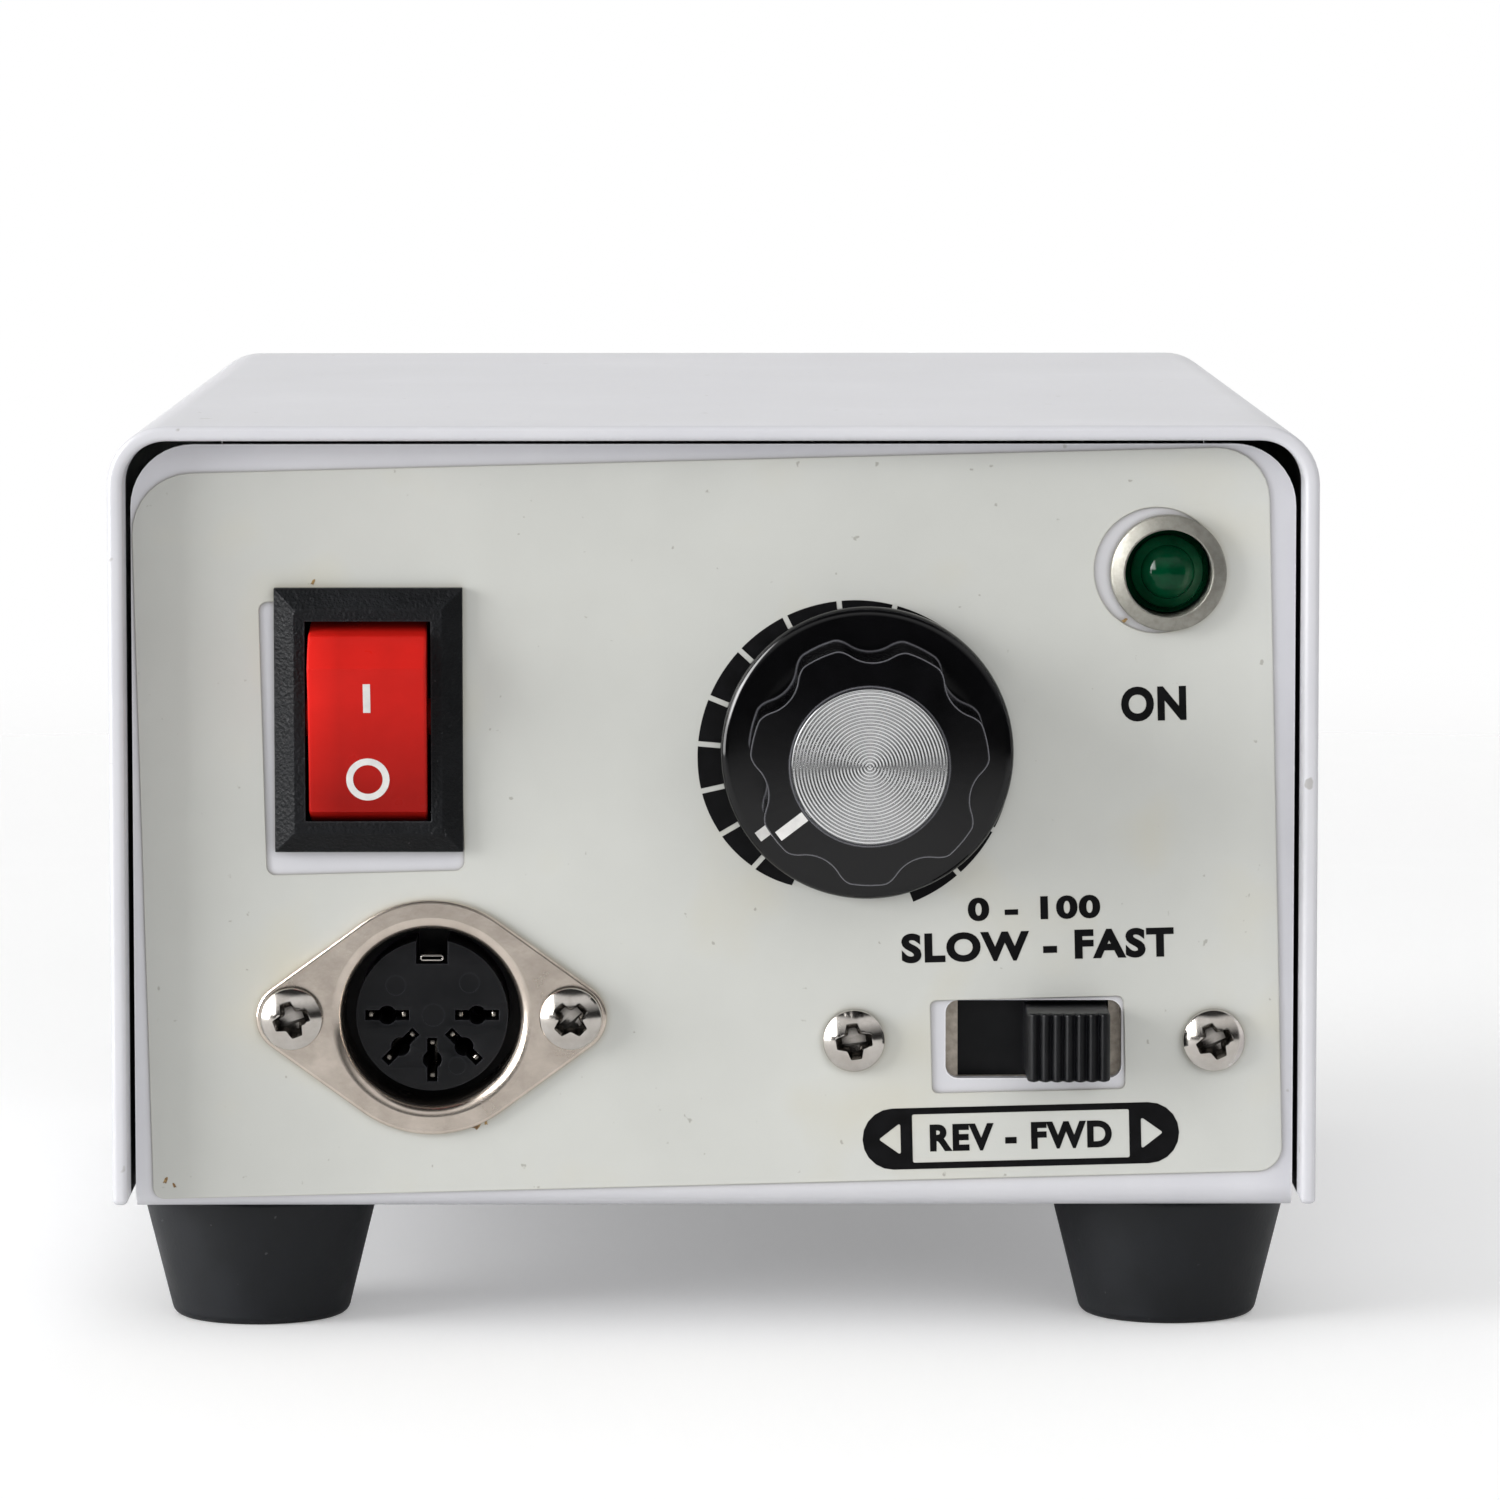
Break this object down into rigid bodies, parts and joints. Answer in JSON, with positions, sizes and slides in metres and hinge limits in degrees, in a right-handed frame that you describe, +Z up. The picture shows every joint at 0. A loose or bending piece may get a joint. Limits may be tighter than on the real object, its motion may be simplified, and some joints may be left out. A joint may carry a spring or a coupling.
{
  "type": "dental micromotor",
  "caption": "Desktop control box of a dental micromotor: sheet-metal case on rubber feet with power rocker, speed knob, pilot lamp, handpiece socket and direction slide.",
  "frame": {"origin": "centre of the bounding box on the floor under the feet", "axes": "+X to the right seen from the controls, +Y from the controls to the rear panel, +Z up"},
  "size_m": [0.0998, 0.1452, 0.0735],
  "materials": {
    "case_paint": "white stoved paint",
    "label_film": "satin warm grey film",
    "foot_rubber": "charcoal rubber",
    "black_moulding": "black moulding",
    "rocker_red": "red satin moulding",
    "nylon": "natural nylon",
    "spring_steel": "bright spring wire",
    "contact_brass": "plain brass",
    "knob_black": "gloss black moulding",
    "spun_aluminium": "spun",
    "zinc_steel": "zinc plated",
    "nickel": "nickel plated",
    "lens_green": "dark green lens",
    "lamp_glass": "clear glass",
    "laminate": "brown laminate",
    "core_steel": "varnished laminations",
    "copper_wire": "enamelled copper",
    "board_green": "green solder mask",
    "capacitor_sleeve": "blue sleeve",
    "bush_rubber": "black rubber"
  },
  "bodies": {
    "case": {"chassis": "case_paint", "rear_panel": "case_paint", "cover": "case_paint", "case_screws": "zinc_steel", "front_film": "label_film", "foot_front_left": "foot_rubber", "foot_front_right": "foot_rubber", "foot_rear_left": "foot_rubber", "foot_rear_right": "foot_rubber", "foot_fasteners": "zinc_steel", "rocker_housing": "black_moulding", "rocker_terminals": "contact_brass", "pot_bush": "zinc_steel", "pot_washer": "zinc_steel", "pot_nut": "zinc_steel", "pot_wafer": "laminate", "pot_can": "zinc_steel", "socket_shell": "nickel", "socket_core": "black_moulding", "socket_base": "black_moulding", "socket_contacts": "contact_brass", "panel_screws": "nickel", "slide_frame": "zinc_steel", "slide_base": "laminate", "slide_terminals": "contact_brass", "lamp_bezel": "nickel", "lamp_lens": "lens_green", "lamp_nut": "zinc_steel", "lamp_bulb": "lamp_glass", "transformer_core": "core_steel", "transformer_bobbin": "nylon", "transformer_winding": "copper_wire", "transformer_strap": "zinc_steel", "transformer_bolts": "zinc_steel", "circuit_board": "board_green", "board_pillars": "contact_brass", "board_screws": "zinc_steel", "capacitor": "capacitor_sleeve", "board_parts": "black_moulding", "heat_sink": "spun_aluminium", "transistor": "black_moulding", "cord_bush": "bush_rubber", "fuse_holder": "black_moulding", "fuse_nut": "black_moulding", "foot_jack": "black_moulding", "jack_nut": "zinc_steel"},
    "rocker": {"rocker_paddle": "rocker_red", "rocker_plunger": "nylon", "rocker_spring": "spring_steel"},
    "rocker_blade": {"rocker_contact": "contact_brass"},
    "speed_knob": {"knob": "knob_black", "knob_cap": "spun_aluminium", "knob_insert": "contact_brass", "knob_set_screw": "zinc_steel", "pot_shaft": "zinc_steel", "pot_rotor": "laminate"},
    "direction_slider": {"slide_actuator": "black_moulding", "slide_contacts": "contact_brass"},
    "fuse_carrier": {"fuse_cap": "black_moulding", "fuse_link": "lamp_glass"}
  },
  "joints": [
    {"name": "rocker_hinge", "type": "hinge", "parent": "case", "child": "rocker", "pos_m": [-0.0275, -0.0574, 0.0499], "axis": [-1, 0, 0], "range_deg": [0, 26]},
    {"name": "blade_hinge", "type": "hinge", "parent": "case", "child": "rocker_blade", "pos_m": [-0.0275, -0.0507, 0.0499], "axis": [1, 0, 0], "range_deg": [0, 18.2]},
    {"name": "knob_turn", "type": "hinge", "parent": "case", "child": "speed_knob", "pos_m": [0.0122, -0.0594, 0.0473], "axis": [0, 1, 0], "range_deg": [-22.5, 277.5]},
    {"name": "direction_slide", "type": "slide", "parent": "case", "child": "direction_slider", "axis": [1, 0, 0], "range_m": [-0.0052, 0]},
    {"name": "fuse_pull", "type": "slide", "parent": "case", "child": "fuse_carrier", "axis": [0, 1, 0], "range_m": [0, 0.03]}
  ],
  "couplings": [
    {"joint": "blade_hinge", "follows": "rocker_hinge", "ratio": 0.7}
  ]
}
